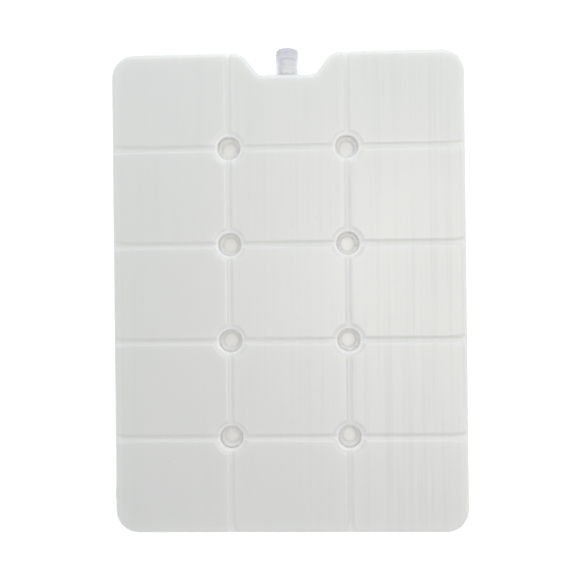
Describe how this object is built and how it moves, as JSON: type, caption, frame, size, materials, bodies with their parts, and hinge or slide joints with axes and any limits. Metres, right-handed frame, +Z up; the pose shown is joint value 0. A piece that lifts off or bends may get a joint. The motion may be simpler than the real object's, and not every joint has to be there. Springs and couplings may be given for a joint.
{
  "type": "reusable ice pack",
  "caption": "Flat rectangular blow-moulded ice pack with shallow square pads, round kiss-off wells and a capped filling neck set in a notch in its top edge.",
  "frame": {"origin": "centre of the flat back face that the pack rests on", "axes": "+X across the pack, to the right as the neck points away; +Y along the pack towards the neck; +Z up, through its thickness"},
  "size_m": [0.3008, 0.4125, 0.03],
  "materials": {
    "milky_hdpe": "natural milky white polyethylene, softly translucent, with faint streaks from the mould",
    "clear_cap": "clear polished plastic with a faint violet-grey tint"
  },
  "bodies": {
    "root": {"shell": "milky_hdpe", "filler_cap": "clear_cap"}
  },
  "joints": []
}
